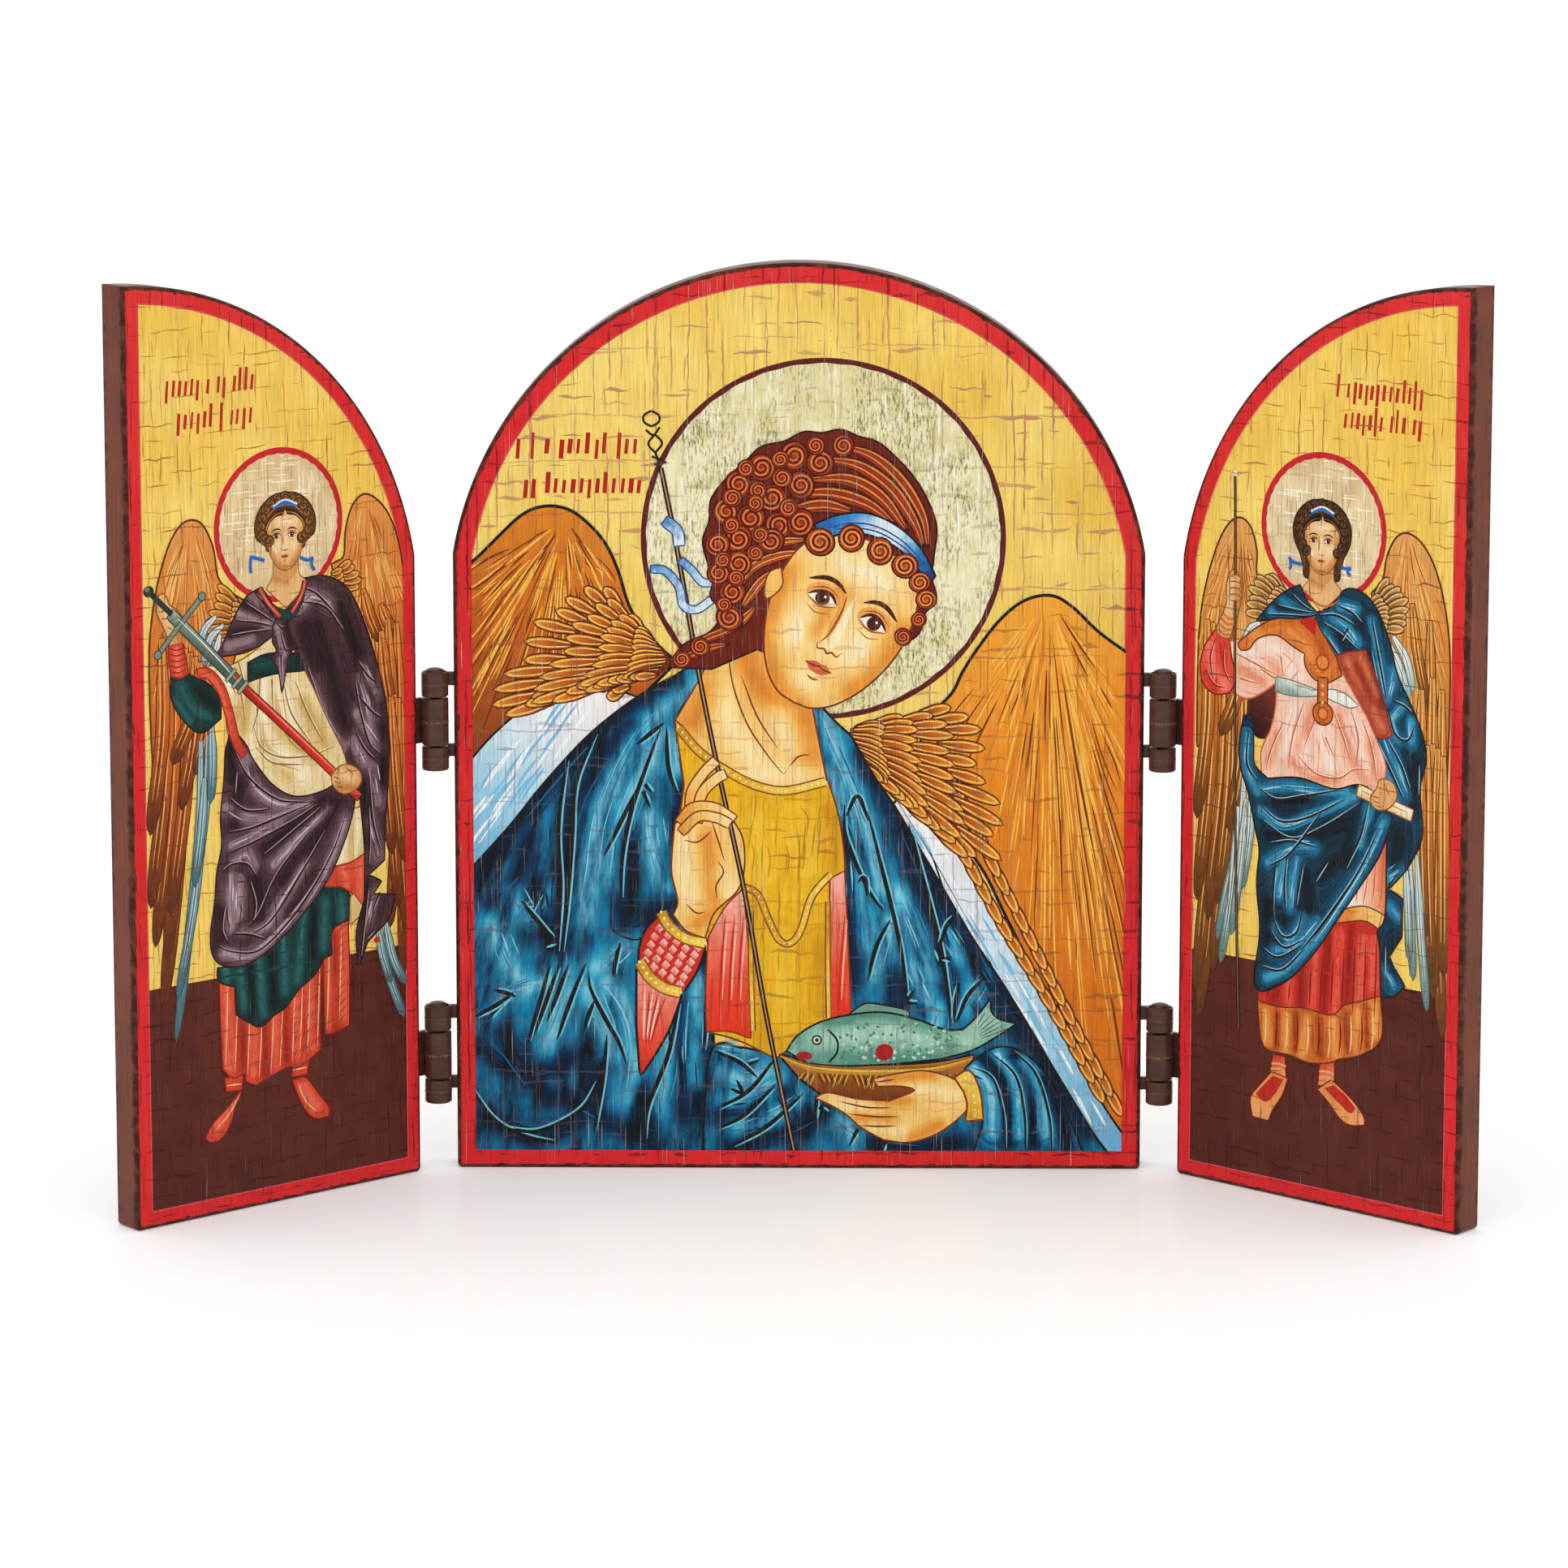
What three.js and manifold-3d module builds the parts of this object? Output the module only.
// A small folding triptych: an arched centre board and two quarter-arch wings
// on four moulded barrel hinges. Millimetres, +Z up. The front looks along -Y,
// and the origin is the middle of the centre board's underside.
import * as THREE from 'three';
import { mergeVertices } from 'three/addons/utils/BufferGeometryUtils.js';
import Module from 'manifold-3d';

// Boards
const BOARD_WIDTH = 150;
const BOARD_HEIGHT = 200;
const BOARD_THICKNESS = 8;
const ARCH_RADIUS = 76.1;
const WING_SHORTFALL = 0.8; // each closed wing stops this far from the middle line
const FOOT_RADIUS = 1;
const ARRIS = 0.7;
const ARRIS_STEPS = 2;
const ARCH_STEPS = 40;

// Hinge places
const AXIS_TO_EDGE = 4; // hinge axis to either board's edge
const AXIS_PROUD = 1; // hinge axis in front of the centre board's face
const WING_ANGLE = 41; // how far the wings stand forward of flat, in degrees
const HINGE_HEIGHTS = { upper: 100.1, lower: 26 };

// Hinge sizes, with heights counted from the middle of the middle knuckle
const KNUCKLE_RADIUS = 2.95;
const KNUCKLE_ROUND = 0.35;
const KNUCKLE_SIDES = 20;
const MIDDLE_HALF = 5.2;
const KNUCKLE_GAP = 0.3;
const TOP_END = 10.9;
const BOTTOM_END = -10.7;
const BORE_RADIUS = 1.3;
const ARM_FRONT = 2; // the arms' front face, behind the hinge axis
const ARM_THICKNESS = 1.6;
const TOP_ARM = [7.4, 10.4];
const BOTTOM_ARM = [-8.3, -5.5];
const WING_ARM = [-5, 5];
const TONGUE_DEPTH = 8; // how far the hidden tongue goes into the board
const SLOT_CLEARANCE = 0.3;

// Hinge pin
const PIN_RADIUS = 0.95;
const PIN_SIDES = 14;
const PIN_RECESS = 0.5;
const HEAD_RADIUS = 2.2;
const HEAD_SEAT = 0.6; // depth of the recess that the head sits in
const HEAD_RISE = 0.9; // height of the dome above the knuckle's rim
const HEAD_CLEARANCE = 0.3;
const DOME_STEPS = 4;

const HALF_WIDTH = BOARD_WIDTH / 2;
const FACE_Y = -BOARD_THICKNESS / 2;
const AXIS_X = HALF_WIDTH + AXIS_TO_EDGE;
const AXIS_Y = FACE_Y - AXIS_PROUD;
const ARCH_CENTRE_Z = BOARD_HEIGHT - ARCH_RADIUS;
const SPRING_ANGLE = Math.acos(HALF_WIDTH / ARCH_RADIUS);

const wasm = await Module();
wasm.setup();

const boardPaint = { color: 0x6b3526, roughness: 0.5, metalness: 0 };
const hingePlastic = { color: 0x3d2620, roughness: 0.35, metalness: 0 };

// Keeps positions only, with shared corners and no triangle that has lost its area.
function weld(geometry) {
  geometry.deleteAttribute('normal');
  geometry.deleteAttribute('uv');
  const merged = mergeVertices(geometry, 1e-4);
  const kept = [];
  for (let i = 0; i < merged.index.count; i += 3) {
    const [a, b, c] = [0, 1, 2].map((k) => merged.index.getX(i + k));
    if (a !== b && b !== c && c !== a) kept.push(a, b, c);
  }
  merged.setIndex(kept);
  return merged;
}

function solid(geometry) {
  const welded = weld(geometry);
  return new wasm.Manifold(new wasm.Mesh({
    numProp: 3,
    vertProperties: new Float32Array(welded.attributes.position.array),
    triVerts: new Uint32Array(welded.index.array),
  }));
}

function toGeometry(manifold) {
  const mesh = manifold.getMesh();
  const geometry = new THREE.BufferGeometry();
  geometry.setAttribute('position', new THREE.BufferAttribute(mesh.vertProperties, 3));
  geometry.setIndex(new THREE.BufferAttribute(mesh.triVerts, 1));
  return geometry;
}

// Swaps left and right, and turns every triangle so that it still faces out.
function mirrored(geometry) {
  const flipped = geometry.clone().scale(-1, 1, 1);
  const index = flipped.index.array;
  for (let i = 0; i < index.length; i += 3) {
    [index[i + 1], index[i + 2]] = [index[i + 2], index[i + 1]];
  }
  return flipped;
}

function block([x0, x1], [y0, y1], [z0, z1]) {
  const box = new THREE.BoxGeometry(x1 - x0, y1 - y0, z1 - z0);
  return solid(box.translate((x0 + x1) / 2, (y0 + y1) / 2, (z0 + z1) / 2));
}

// Turns a profile of [radius, height] points about the Z axis.
function turned(profile, sides) {
  const points = profile.map(([r, z]) => new THREE.Vector2(r, z));
  return solid(new THREE.LatheGeometry(points, sides).rotateX(Math.PI / 2));
}

// A board cut to an outline in X and Z, with its front face at the depth given
// and its arrises rounded all round both faces.
function board(outline, front) {
  const geometry = new THREE.ExtrudeGeometry(outline, {
    depth: BOARD_THICKNESS - 2 * ARRIS,
    bevelThickness: ARRIS,
    bevelSize: ARRIS,
    bevelOffset: -ARRIS,
    bevelSegments: ARRIS_STEPS,
    curveSegments: ARCH_STEPS,
  });
  geometry.rotateX(Math.PI / 2);
  geometry.translate(0, front + BOARD_THICKNESS - ARRIS, 0);
  return solid(geometry);
}

function centreOutline() {
  const outline = new THREE.Shape();
  outline.moveTo(-HALF_WIDTH + FOOT_RADIUS, 0);
  outline.lineTo(HALF_WIDTH - FOOT_RADIUS, 0);
  outline.quadraticCurveTo(HALF_WIDTH, 0, HALF_WIDTH, FOOT_RADIUS);
  outline.absarc(0, ARCH_CENTRE_Z, ARCH_RADIUS, SPRING_ANGLE, Math.PI - SPRING_ANGLE, false);
  outline.lineTo(-HALF_WIDTH, FOOT_RADIUS);
  outline.quadraticCurveTo(-HALF_WIDTH, 0, -HALF_WIDTH + FOOT_RADIUS, 0);
  return outline;
}

// A wing lying flat, counted from its hinge axis: the closed pair makes the
// centre board's arch again, so its arc is the same circle turned over.
function wingOutline() {
  const outer = AXIS_X - WING_SHORTFALL;
  const outerAngle = Math.PI / 2 + Math.asin(WING_SHORTFALL / ARCH_RADIUS);
  const outline = new THREE.Shape();
  outline.moveTo(AXIS_TO_EDGE, 0);
  outline.lineTo(outer - FOOT_RADIUS, 0);
  outline.quadraticCurveTo(outer, 0, outer, FOOT_RADIUS);
  outline.absarc(AXIS_X, ARCH_CENTRE_Z, ARCH_RADIUS, outerAngle, Math.PI - SPRING_ANGLE, false);
  outline.lineTo(AXIS_TO_EDGE, 0);
  return outline;
}

// The hidden tongue of a leaf, or with a clearance the slot that takes it.
function tongue(heights, clearance) {
  return block(
    [AXIS_TO_EDGE - clearance, AXIS_TO_EDGE + TONGUE_DEPTH + clearance],
    [ARM_FRONT - clearance, ARM_FRONT + ARM_THICKNESS + clearance],
    [heights[0] - clearance, heights[1] + clearance],
  );
}

function arm(heights) {
  const back = ARM_FRONT + ARM_THICKNESS;
  return block([0, AXIS_TO_EDGE + TONGUE_DEPTH], [ARM_FRONT, back], heights);
}

function knuckle(low, high) {
  const inner = KNUCKLE_RADIUS - KNUCKLE_ROUND;
  return turned([
    [0, low],
    [inner, low],
    [KNUCKLE_RADIUS, low + KNUCKLE_ROUND],
    [KNUCKLE_RADIUS, high - KNUCKLE_ROUND],
    [inner, high],
    [0, high],
  ], KNUCKLE_SIDES);
}

function bore(low, high, radius) {
  return turned([[0, low], [radius, low], [radius, high], [0, high]], KNUCKLE_SIDES);
}

const FIXED_TONGUE = [BOTTOM_ARM[0], TOP_ARM[1]];

// Top and bottom knuckles with their arms, joined by the tongue inside the board.
function fixedLeaf() {
  const reach = MIDDLE_HALF + KNUCKLE_GAP;
  return knuckle(reach, TOP_END)
    .add(knuckle(BOTTOM_END, -reach))
    .add(arm(TOP_ARM))
    .add(arm(BOTTOM_ARM))
    .add(tongue(FIXED_TONGUE, 0))
    .subtract(bore(BOTTOM_END - 1, TOP_END + 1, BORE_RADIUS))
    .subtract(bore(TOP_END - HEAD_SEAT, TOP_END + 1, HEAD_RADIUS + HEAD_CLEARANCE));
}

function wingLeaf() {
  return knuckle(-MIDDLE_HALF, MIDDLE_HALF)
    .add(arm(WING_ARM))
    .subtract(bore(-MIDDLE_HALF - 1, MIDDLE_HALF + 1, BORE_RADIUS));
}

// A round pin with a domed head that stands just clear of its recess.
function pin() {
  const seat = TOP_END - HEAD_SEAT + HEAD_CLEARANCE;
  const profile = [
    [0, BOTTOM_END + PIN_RECESS],
    [PIN_RADIUS, BOTTOM_END + PIN_RECESS],
    [PIN_RADIUS, seat],
    [HEAD_RADIUS, seat],
  ];
  for (let i = 0; i <= DOME_STEPS; i += 1) {
    const angle = (Math.PI / 2) * (i / DOME_STEPS);
    profile.push([HEAD_RADIUS * Math.cos(angle), TOP_END + HEAD_RISE * Math.sin(angle)]);
  }
  profile[profile.length - 1][0] = 0;
  return turned(profile, PIN_SIDES);
}

// Cuts a slot for a leaf's tongue at both hinge heights. The hinge axis stands at
// axisX and axisY, and the slots run from it along +X, or along -X for a sign of -1.
function slotted(panel, heights, axisX, axisY, sign) {
  let cut = panel;
  for (const height of Object.values(HINGE_HEIGHTS)) {
    const slot = tongue(heights, SLOT_CLEARANCE);
    const turnedSlot = sign > 0 ? slot : slot.mirror([1, 0, 0]);
    cut = cut.subtract(turnedSlot.translate([axisX, axisY, height]));
  }
  return cut;
}

const triptych = new THREE.Group();

function addMesh(parent, name, geometry, look) {
  const mesh = new THREE.Mesh(
    geometry,
    new THREE.MeshStandardMaterial({ ...look, flatShading: true }),
  );
  mesh.name = name;
  parent.add(mesh);
  return mesh;
}

let centre = board(centreOutline(), FACE_Y);
centre = slotted(centre, FIXED_TONGUE, -AXIS_X, AXIS_Y, 1);
centre = slotted(centre, FIXED_TONGUE, AXIS_X, AXIS_Y, -1);
addMesh(triptych, 'centre_panel', toGeometry(centre), boardPaint);

// Wings and hinge pieces are shaped about their hinge axis, with the board towards +X.
const wing = toGeometry(slotted(board(wingOutline(), AXIS_PROUD), WING_ARM, 0, 0, 1));
const fixedLeafGeometry = toGeometry(fixedLeaf());
const wingLeafGeometry = toGeometry(wingLeaf());
const pinGeometry = toGeometry(pin());

for (const [side, sign] of [['left', -1], ['right', 1]]) {
  const hinge = new THREE.Group();
  hinge.position.set(sign * AXIS_X, AXIS_Y, 0);
  triptych.add(hinge);

  const swing = new THREE.Group();
  swing.rotation.z = THREE.MathUtils.degToRad(-sign * WING_ANGLE);
  hinge.add(swing);

  const outward = (geometry) => (sign > 0 ? geometry.clone() : mirrored(geometry));
  const inward = (geometry) => (sign > 0 ? mirrored(geometry) : geometry.clone());
  addMesh(swing, `${side}_wing_panel`, outward(wing), boardPaint);

  for (const [level, height] of Object.entries(HINGE_HEIGHTS)) {
    const name = `${level}_${side}_hinge`;
    const pieces = [
      addMesh(hinge, `${name}_fixed_leaf`, inward(fixedLeafGeometry), hingePlastic),
      addMesh(swing, `${name}_wing_leaf`, outward(wingLeafGeometry), hingePlastic),
      addMesh(hinge, `${name}_pin`, pinGeometry.clone(), hingePlastic),
    ];
    for (const piece of pieces) piece.position.z = height;
  }
}

export default triptych;
